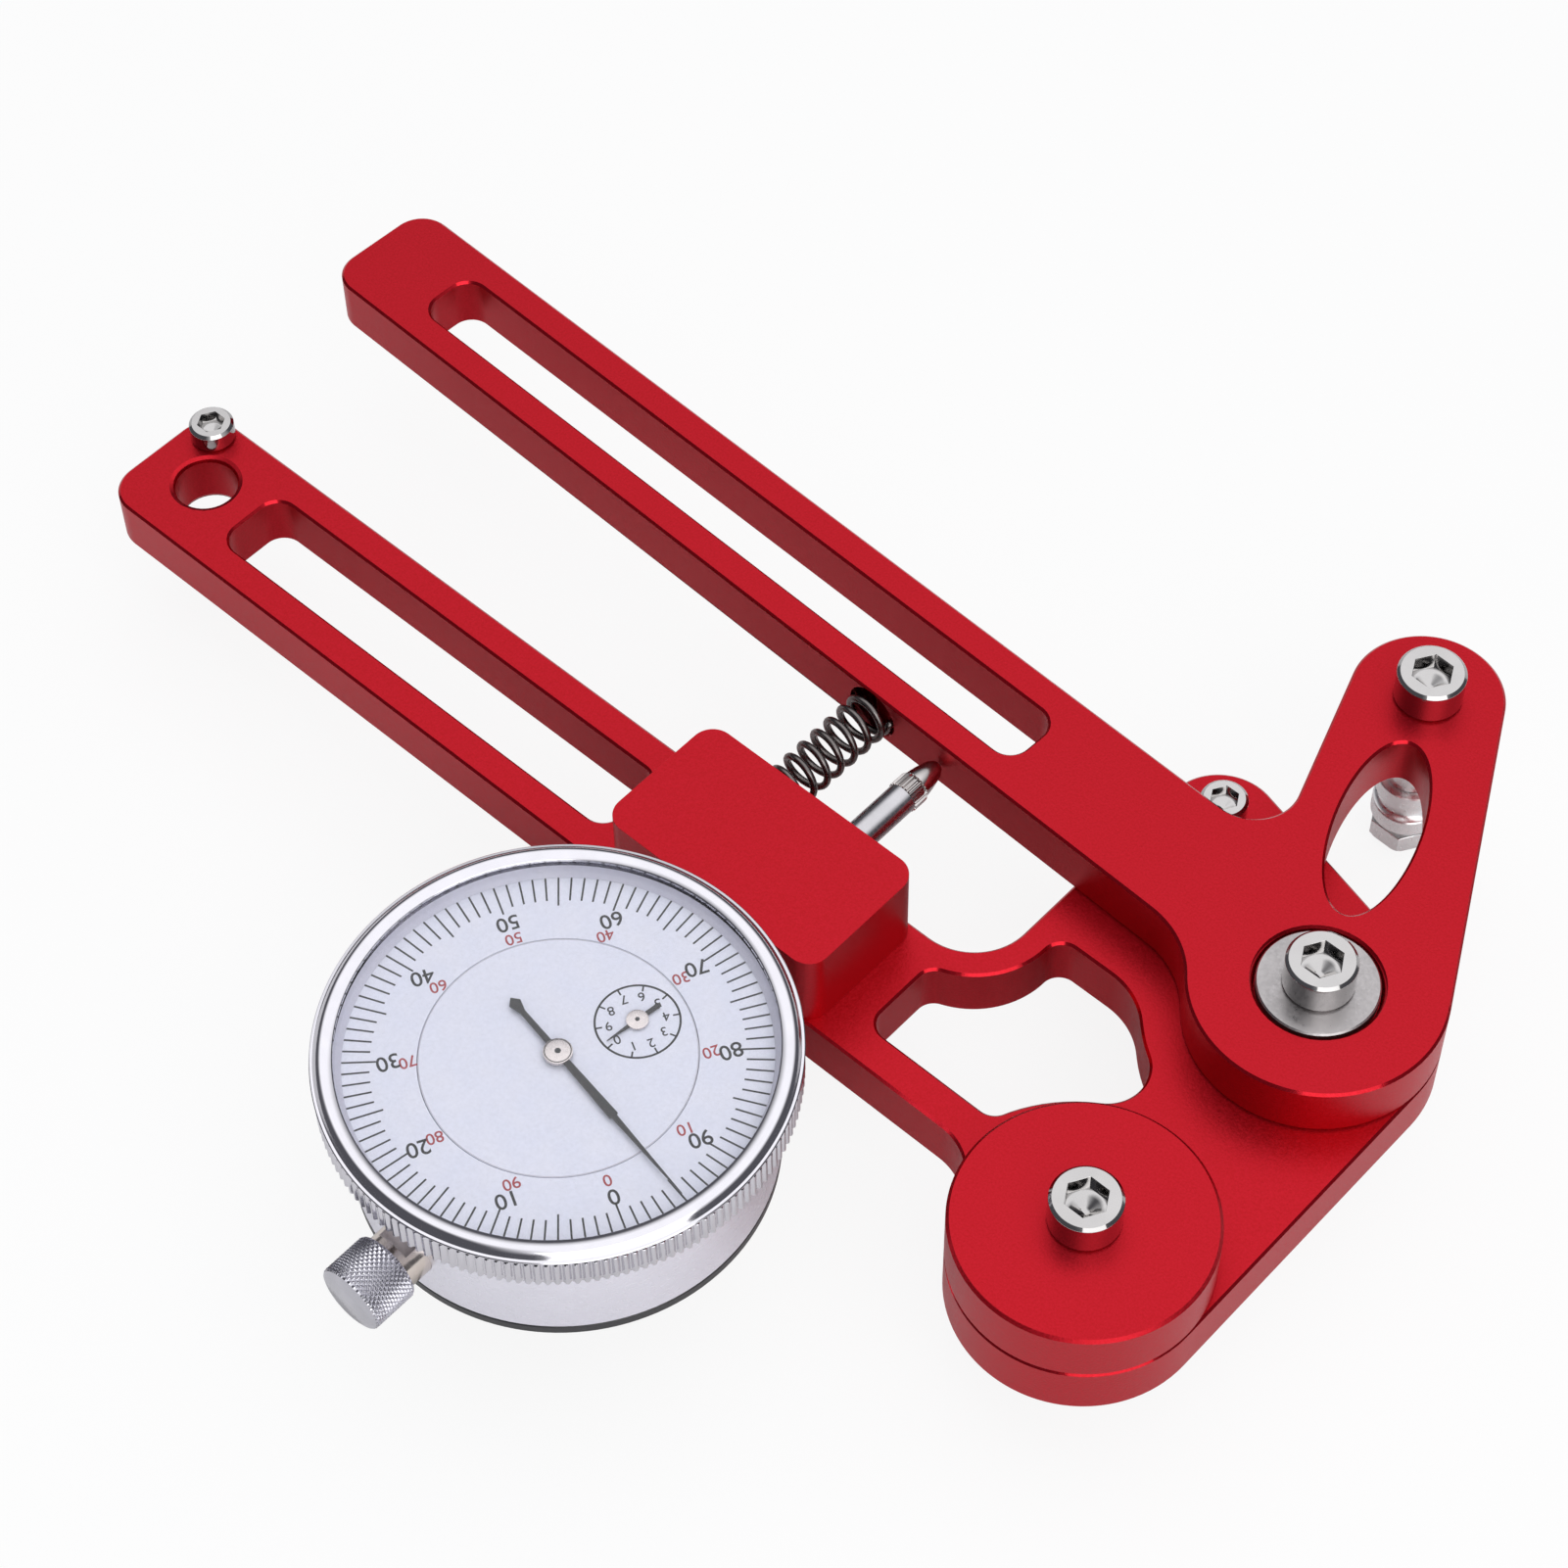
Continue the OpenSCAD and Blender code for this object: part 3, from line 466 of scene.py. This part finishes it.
def dial_print():
    centre = Vector((DIAL.x, DIAL.y, 0))
    ticks = ([], [])
    black, red = [], []
    for k in range(TICKS):
        angle = ZERO_ANGLE - 2 * math.pi * k / TICKS
        inner = TICK_LONG_IN if k % 5 == 0 else TICK_SHORT_IN
        prism(bar_outline(centre, angle, inner, TICK_OUT, TICK_W), FACE_Z, PRINT_T, ticks)
        if k % 10 == 0:
            out = Vector((math.cos(angle), math.sin(angle), 0))
            level = Vector((0, 0, FACE_Z + PRINT_T / 2)) + FIGURE_SHIFT
            black.append((str(k), centre + out * BLACK_R + level))
            red.append((str((TICKS - k) % TICKS), centre + out * RED_R + level))
    new_piece("scale_ticks", mesh_from("scale_ticks", *ticks), "bezel", INK)
    figures("scale_figures", black, BLACK_H, "bezel", INK)
    figures("scale_figures_red", red, RED_H, "bezel", RED_INK)
    # A grey ring along the dial's edge: painted shade where the dial meets the bezel
    edge = ([], [])
    annulus(centre, DIAL_R - EDGE_SHADE_W, DIAL_R, FACE_Z, PRINT_T, edge)
    new_piece("dial_edge_shade_ring", mesh_from("dial_edge_shade_ring", *edge), "frame", EDGE_SHADE_GREY)
    small = centre + SMALL_AT
    lines = ([], [])
    annulus(small, SMALL_RING_R - SMALL_LINE_IN, SMALL_RING_R + SMALL_LINE_OUT, FACE_Z, PRINT_T,
            lines, SMALL_STEPS)
    numbers = []
    for k in range(10):
        angle = SMALL_ZERO + 2 * math.pi * k / 10
        tick = bar_outline(small, angle, SMALL_RING_R - SMALL_TICK_LONG, SMALL_RING_R, SMALL_TICK_W)
        prism(tick, FACE_Z, PRINT_T, lines)
        out = Vector((math.cos(angle), math.sin(angle), 0))
        level = Vector((0, 0, FACE_Z + PRINT_T / 2))
        numbers.append((str(k), small + out * SMALL_DIGIT_R + level))
    new_piece("small_scale", mesh_from("small_scale", *lines), "frame", INK)
    figures("small_figures", numbers, SMALL_H, "frame", INK)


def tube(name, path, radius, sides):
    """A closed tube along a path of points, with flat ends square to the first and last step."""
    points, faces = [], []
    side = None
    for i, p in enumerate(path):
        ahead = (path[min(i + 1, len(path) - 1)] - path[max(i - 1, 0)]).normalized()
        side = ahead.orthogonal() if side is None else side - ahead * side.dot(ahead)
        side.normalize()
        other = ahead.cross(side)
        for k in range(sides):
            a = 2 * math.pi * k / sides
            points.append(p + (side * math.cos(a) + other * math.sin(a)) * radius)
    for i in range(len(path) - 1):
        for k in range(sides):
            m = (k + 1) % sides
            faces.append((i * sides + k, i * sides + m, (i + 1) * sides + m, (i + 1) * sides + k))
    last = (len(path) - 1) * sides
    faces.append(tuple(reversed(range(sides))))
    faces.append(tuple(last + k for k in range(sides)))
    return mesh_from(name, points, faces)


def smooth_faces(mesh):
    """Shades a tube smooth, but for its ends."""
    for face in mesh.polygons:
        face.use_smooth = len(face.vertices) == 4


# Return spring, in the place of its CAD form

SPRING_TURNS = 11
SPRING_WIRE = 0.98 * MM
SPRING_R_BLOCK = 2.75 * MM
SPRING_R_LEVER = 3.035 * MM
SPRING_END_PITCH = 1.45 * MM
SPRING_STEPS = 28
SPRING_SIDES = 12
# Straight bit at each end, which turns the wire's end flat on its seat
SPRING_STUB = Vector((0, SPRING_WIRE * 0.98, 0))


def spring():
    """A coil that widens from the block to the lever."""
    low, high = corners("spring")
    start = low.y + SPRING_WIRE
    length = high.y - low.y - 2 * SPRING_WIRE
    pitch = (length - 2 * SPRING_END_PITCH) / (SPRING_TURNS - 2)
    axis_x = high.x - SPRING_R_LEVER - SPRING_WIRE / 2
    path = []
    for i in range(SPRING_TURNS * SPRING_STEPS + 1):
        t = i / SPRING_STEPS
        radius = SPRING_R_BLOCK + (SPRING_R_LEVER - SPRING_R_BLOCK) * t / SPRING_TURNS
        rise = (SPRING_END_PITCH * min(t, 1) + pitch * (max(1, min(t, SPRING_TURNS - 1)) - 1)
                + SPRING_END_PITCH * max(0, t - SPRING_TURNS + 1))
        angle = 2 * math.pi * t
        path.append(Vector((axis_x + radius * math.cos(angle), start + rise,
                            AXIS_Z + radius * math.sin(angle))))
    path.insert(0, path[0] - SPRING_STUB)
    path.append(path[-1] + SPRING_STUB)
    mesh = tube("return_spring", path, SPRING_WIRE / 2, SPRING_SIDES)
    smooth_faces(mesh)
    piece = new_piece("return_spring", mesh, None, WIRE)
    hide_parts("spring")
    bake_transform(piece)


# Knurled dust cap, in the place of its CAD form

KNURL_DIAMONDS = 38
KNURL_DEPTH = 0.28 * MM
KNURL_STRETCH = 1.05
KNURL_ROWS = 72
KNURL_STEPS = 8
CAP_EDGE = 0.45 * MM
CAP_MOUTH_R = 3.78 * MM
CAP_MOUTH_DEEP = 3.1 * MM
CAP_BORE_R = 2.62 * MM
CAP_BACK = 1.2 * MM
DOUBLES = 0.002 * MM


def tent(x):
    """1 on whole numbers, 0 halfway between them."""
    return abs(1 - 2 * (x - math.floor(x)))


def dust_cap():
    """A cap turned round Y with a diamond knurl between its broken edges."""
    low, high = corners("dust_cap")
    radius = (high.x - low.x) / 2
    centre = middle("dust_cap")
    around = KNURL_DIAMONDS * KNURL_STEPS
    cell = 2 * math.pi * radius / KNURL_DIAMONDS * KNURL_STRETCH
    knurled = high.y - low.y - 2 * CAP_EDGE
    # Place along Y, radius and whether the ring is knurled
    rings = [(low.y, 0.0, 0), (low.y, radius - CAP_EDGE * 1.6, 0),
             (low.y + CAP_EDGE * 0.45, radius - CAP_EDGE * 0.5, 0)]
    rings += [(low.y + CAP_EDGE + knurled * j / KNURL_ROWS, radius, 1)
              for j in range(KNURL_ROWS + 1)]
    rings += [(high.y - CAP_EDGE * 0.45, radius - CAP_EDGE * 0.5, 0),
              (high.y, radius - CAP_EDGE * 1.6, 0), (high.y, CAP_MOUTH_R, 0),
              (high.y - CAP_MOUTH_DEEP, CAP_MOUTH_R, 0), (high.y - CAP_MOUTH_DEEP, CAP_BORE_R, 0),
              (low.y + CAP_BACK, CAP_BORE_R, 0), (low.y + CAP_BACK, 0.0, 0)]
    points, faces = [], []
    for y, r, cut in rings:
        for i in range(around):
            turn = i / around
            depth = 0
            if cut:
                along = (y - low.y) / cell
                across = KNURL_DIAMONDS * turn
                depth = KNURL_DEPTH * max(tent(across + along), tent(across - along)) ** 1.5
            a = 2 * math.pi * turn
            points.append((centre.x + (r - depth) * math.cos(a), y,
                           AXIS_Z + (r - depth) * math.sin(a)))
    for j in range(len(rings) - 1):
        for i in range(around):
            m = (i + 1) % around
            faces.append((j * around + i, (j + 1) * around + i,
                          (j + 1) * around + m, j * around + m))
    mesh = mesh_from("knurled_cap", points, faces)
    shape = bmesh.new()
    shape.from_mesh(mesh)
    bmesh.ops.remove_doubles(shape, verts=shape.verts, dist=DOUBLES)
    bmesh.ops.recalc_face_normals(shape, faces=shape.faces)
    shape.to_mesh(mesh)
    shape.free()
    piece = new_piece("knurled_cap", mesh, "frame", CAP)
    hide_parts("dust_cap")
    soften(piece)


# Contact tip with its knurled collar, in the place of its CAD form

TIP_GROOVES = 24
TIP_GROOVE = 0.34 * MM
# Share of a groove's depth at each step round the tip, from one groove to the next
GROOVE_SHAPE = (0, 0, 0.6, 1, 1, 0.6)
# Distance along the tip and radius in mm, and whether the row is grooved
TIP_SHAPE = ((0.0, 0.3, 0), (0.0, 1.85, 0), (0.05, 2.2, 1), (0.12, 2.3, 1), (2.25, 2.3, 1),
             (2.62, 2.08, 1), (2.66, 2.0, 0), (3.2, 1.95, 0), (4.2, 1.78, 0), (5.2, 1.55, 0),
             (6.05, 1.33, 0), (6.1, 1.2, 0), (6.5, 1.05, 0), (6.8, 0.82, 0), (7.0, 0.5, 0),
             (7.08, 0.2, 0))


def contact_tip():
    start = corners("contact_point")[0].y
    centre = middle("contact_point")
    steps = len(GROOVE_SHAPE)
    around = TIP_GROOVES * steps
    points = []
    for along, radius, grooved in TIP_SHAPE:
        for i in range(around):
            cut = TIP_GROOVE * GROOVE_SHAPE[i % steps] if grooved else 0
            a = 2 * math.pi * i / around
            r = radius * MM - cut
            points.append((centre.x + r * math.cos(a), start + along * MM,
                           centre.z + r * math.sin(a)))
    last = (len(TIP_SHAPE) - 1) * around
    faces = [(j * around + i, (j + 1) * around + i,
              (j + 1) * around + (i + 1) % around, j * around + (i + 1) % around)
             for j in range(len(TIP_SHAPE) - 1) for i in range(around)]
    faces += [tuple(range(around)), tuple(last + i for i in reversed(range(around)))]
    piece = new_piece("contact_tip", mesh_from("contact_tip", points, faces), "spindle", TIP)
    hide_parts("contact_point")
    soften(piece)


# Bezel with its ridge, rim and ribs, in the place of its CAD form

RIBS = 160
RIB_SHAPE = (0, 0, 0.45, 0.9, 1, 1, 0.75, 0.25)
RIB_H = 0.42 * MM
BEZEL_IN = 0.2 * MM
# How far the rim's underside lies below the bezel's top
RIM_DROP = 1.15 * MM
# Each row is mm in from the ribs' tips, mm above a level, and whether it is ribbed
FOOT_ROWS = ((0.5, 0, 0), (0.15, 0.02, 1), (0.05, 0.12, 1))
RIM_ROWS = ((0.05, -0.5, 1), (0.12, -0.42, 1), (0.75, -0.4, 0), (0.75, -0.05, 0), (0.1, 0, 0),
            (0.01, 0.08, 0), (0.01, 0.2, 0), (0.12, 0.3, 0), (0.42, 0.34, 0))
RIDGE_ROWS = ((0.55, -0.68, 0), (0.68, -0.52, 0), (0.85, -0.34, 0), (1.03, -0.18, 0),
              (1.25, -0.06, 0), (1.5, 0, 0), (1.8, -0.01, 0), (2.1, -0.045, 0), (2.33, -0.1, 0),
              (2.5, -0.155, 0), (2.65, -0.21, 0), (2.76, -0.26, 0), (2.82, -0.32, 0))
# Lip over the crystal, its groove, the cone down to the dial and the scale ring's seat:
# mm out from the ring's edge, mm above the dial's face
INSIDE_ROWS = ((-0.2, 2.37), (0.6, 2.37), (0.6, 1.4), (-0.05, 1.38), (-0.96, 0.05), (-0.9, 0.03),
               (0.02, 0.03), (0.02, -1.3), (-0.2, -1.3))
CONE_ROW = 3


def bezel():
    """A ribbed ring turned round the dial, from its foot over the ridge to its inside."""
    low, high = corners("bezel")
    tip = (high.x - low.x) / 2
    rows = [(RING_R - BEZEL_IN, low.z, 0)]
    for level, part in ((low.z, FOOT_ROWS), (high.z - RIM_DROP, RIM_ROWS), (high.z, RIDGE_ROWS)):
        rows += [(tip - inward * MM, level + up * MM, ribbed) for inward, up, ribbed in part]
    rows += [(RING_R + out * MM, FACE_Z + up * MM, 0) for out, up in INSIDE_ROWS]
    steps = len(RIB_SHAPE)
    around = RIBS * steps
    points = []
    for r, z, ribbed in rows:
        for i in range(around):
            cut = RIB_H * (1 - RIB_SHAPE[i % steps]) if ribbed else 0
            a = 2 * math.pi * i / around
            points.append((DIAL.x + (r - cut) * math.cos(a), DIAL.y + (r - cut) * math.sin(a), z))
    n = len(rows)
    faces = [(j * around + i, j * around + (i + 1) % around,
              ((j + 1) % n) * around + (i + 1) % around, ((j + 1) % n) * around + i)
             for j in range(n) for i in range(around)]
    mesh = mesh_from("bezel_ring", points, faces)
    piece = new_piece("bezel_ring", mesh, "bezel", POLISHED)
    # The cone down to the dial takes the painted flare colour: a painted reflection band
    mesh.materials.append(PAINTED_FLARE)
    cone = n - len(INSIDE_ROWS) + CONE_ROW
    for k in range(cone * around, (cone + 1) * around):
        mesh.polygons[k].material_index = 1
    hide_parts("bezel")
    soften(piece)


# Turned hubs on the hands, and the long hand's blade

# Radius as a share of the hub's, height as a share of the hub's
HUB_PROFILE = ((0.22, 0.3), (0.22, 1.02), (0.86, 1.02), (1.02, 0.86), (1.02, 0), (0.22, 0))
HUB_STEPS = 64
BLADE_FROM = 11.2
BLADE_WIDE = 0.36
BLADE_THIN = 0.05
BLADE_Z = 0.69 * MM
BLADE_T = 0.17 * MM


def hub(name, node, radius, height, body):
    centre = DIAL if node == "long_hand" else Vector((DIAL.x, DIAL.y, 0)) + SMALL_AT
    base = top_of(node) - height
    points = [(centre.x + radius * r * math.cos(2 * math.pi * i / HUB_STEPS),
               centre.y + radius * r * math.sin(2 * math.pi * i / HUB_STEPS), base + height * up)
              for i in range(HUB_STEPS) for r, up in HUB_PROFILE]
    n = len(HUB_PROFILE)
    faces = [(i * n + k, (i + 1) % HUB_STEPS * n + k,
              (i + 1) % HUB_STEPS * n + (k + 1) % n, i * n + (k + 1) % n)
             for i in range(HUB_STEPS) for k in range(n)]
    soften(new_piece(name, mesh_from(name, points, faces), body, HUB))


def blade():
    """The tapered end of the long hand, over its CAD form."""
    centre = Vector((DIAL.x, DIAL.y))
    tip = max((Vector(v.co[:2]) - centre for v in nodes["long_hand"].data.vertices),
              key=lambda d: d.length)
    along = tip.normalized()
    across = Vector((-along.y, along.x))
    reach = tip.length / MM
    outline = [tuple(centre + along * r * MM + across * w * MM)
               for r, w in ((BLADE_FROM, -BLADE_WIDE), (reach, -BLADE_THIN),
                            (reach, BLADE_THIN), (BLADE_FROM, BLADE_WIDE))]
    body = ([], [])
    prism(outline, FACE_Z + BLADE_Z, BLADE_T, body)
    new_piece("long_hand_blade", mesh_from("long_hand_blade", *body), "long_hand", HAND)


dial_print()
blade()
spring()
dust_cap()
contact_tip()
bezel()
hub("long_hand_hub", "long_hand", 1.74 * MM, 0.5 * MM, "long_hand")
hub("short_hand_hub", "short_hand", 1.33 * MM, 0.3 * MM, "short_hand")

# Floor, light and camera

FLOOR_HALF = 6.0
# How much of the floor shows to the camera as plain white, without its shading
FLOOR_WHITE = 0.88
# The sky is bright overhead, dark towards the horizon and dark on one side
SKY_FROM, SKY_TO = 0.46, 0.78
DARK_SIDE = (-0.37, -0.82, 0.44)
DARK_FROM, DARK_TO = 0.58, 0.84
SKY_DARK = (0.08, 0.08, 0.09)
SKY_BRIGHT = (1.0, 1.0, 1.02)
SKY_STRENGTH = 1.46
KEY_AT = (0.72, -0.42, 0.52)
KEY_TARGET = (-0.05, 0, 0)
KEY_SIZE = 0.9
KEY_POWER = 5.0
# The photograph's camera, fitted to the part's own edges: place in mm and its three axes
CAMERA_AT = Vector((128.887, -232.105, 412.6)) * MM
CAMERA_RIGHT = Vector((0.73904, 0.67357, -0.01014))
CAMERA_UP = Vector((-0.53789, 0.59910, 0.59308))
CAMERA_BACK = Vector((0.40556, -0.43286, 0.80508))
CAMERA_LENS = 88.33
CAMERA_SENSOR = 36


def key_light():
    lamp = bpy.data.lights.new("key", "AREA")
    lamp.shape = "RECTANGLE"
    lamp.size = KEY_SIZE
    lamp.size_y = KEY_SIZE
    lamp.energy = KEY_POWER
    holder = bpy.data.objects.new("key", lamp)
    bpy.context.scene.collection.objects.link(holder)
    holder.location = KEY_AT
    aim = Vector(KEY_TARGET) - Vector(KEY_AT)
    holder.rotation_euler = aim.to_track_quat("-Z", "Y").to_euler()


def floor():
    """A white floor that keeps the part's shadow."""
    made, tree, shader = material("floor_white")
    soft = noise(tree, 3, 2)
    tone = mix_colour(tree, spread(tree, soft), (0.84, 0.84, 0.84), (0.87, 0.87, 0.87))
    tree.links.new(tone, shader.inputs["Base Color"])
    shader.inputs["Roughness"].default_value = 0.9
    shader.inputs["Specular IOR Level"].default_value = 0.0
    path = tree.nodes.new("ShaderNodeLightPath")
    white = tree.nodes.new("ShaderNodeEmission")
    both = tree.nodes.new("ShaderNodeMixShader")
    out = tree.nodes["Material Output"]
    share = ramp(tree, path.outputs["Is Camera Ray"], 0.0, 1.0, 0.0, FLOOR_WHITE)
    tree.links.new(share, both.inputs["Fac"])
    tree.links.new(shader.outputs[0], both.inputs[1])
    tree.links.new(white.outputs[0], both.inputs[2])
    tree.links.new(both.outputs[0], out.inputs["Surface"])
    square = [(-1, -1), (1, -1), (1, 1), (-1, 1)]
    mesh = mesh_from("floor", [(x * FLOOR_HALF, y * FLOOR_HALF, FLOOR_Z) for x, y in square],
                     [(0, 1, 2, 3)])
    mesh.materials.append(made)
    piece = bpy.data.objects.new("floor", mesh)
    bpy.context.scene.collection.objects.link(piece)


def world():
    made = bpy.data.worlds.new("studio")
    made.use_nodes = True
    tree = made.node_tree
    sky = tree.nodes["Background"]
    where = tree.nodes.new("ShaderNodeTexCoord")
    split = tree.nodes.new("ShaderNodeSeparateXYZ")
    tree.links.new(where.outputs["Generated"], split.inputs["Vector"])
    height = ramp(tree, split.outputs["Z"], SKY_FROM, SKY_TO, 0.0, 1.0)
    toward = tree.nodes.new("ShaderNodeVectorMath")
    toward.operation = "DOT_PRODUCT"
    toward.inputs[1].default_value = DARK_SIDE
    tree.links.new(where.outputs["Generated"], toward.inputs[0])
    open_side = ramp(tree, toward.outputs["Value"], DARK_FROM, DARK_TO, 1.0, 0.0)
    lit = tree.nodes.new("ShaderNodeMath")
    lit.operation = "MULTIPLY"
    tree.links.new(height, lit.inputs[0])
    tree.links.new(open_side, lit.inputs[1])
    tree.links.new(mix_colour(tree, lit.outputs[0], SKY_DARK, SKY_BRIGHT), sky.inputs["Color"])
    sky.inputs["Strength"].default_value = SKY_STRENGTH
    bpy.context.scene.world = made


def camera():
    lens = bpy.data.cameras.new("camera")
    lens.sensor_fit = "HORIZONTAL"
    lens.sensor_width = CAMERA_SENSOR
    lens.lens = CAMERA_LENS
    lens.clip_start = 0.01
    lens.clip_end = 50
    holder = bpy.data.objects.new("camera", lens)
    bpy.context.scene.collection.objects.link(holder)
    turn = Matrix((CAMERA_RIGHT, CAMERA_UP, CAMERA_BACK)).transposed()
    holder.matrix_world = Matrix.Translation(CAMERA_AT) @ turn.to_4x4()
    bpy.context.scene.camera = holder


floor()
world()
key_light()
camera()
bpy.context.scene.view_settings.view_transform = "Standard"
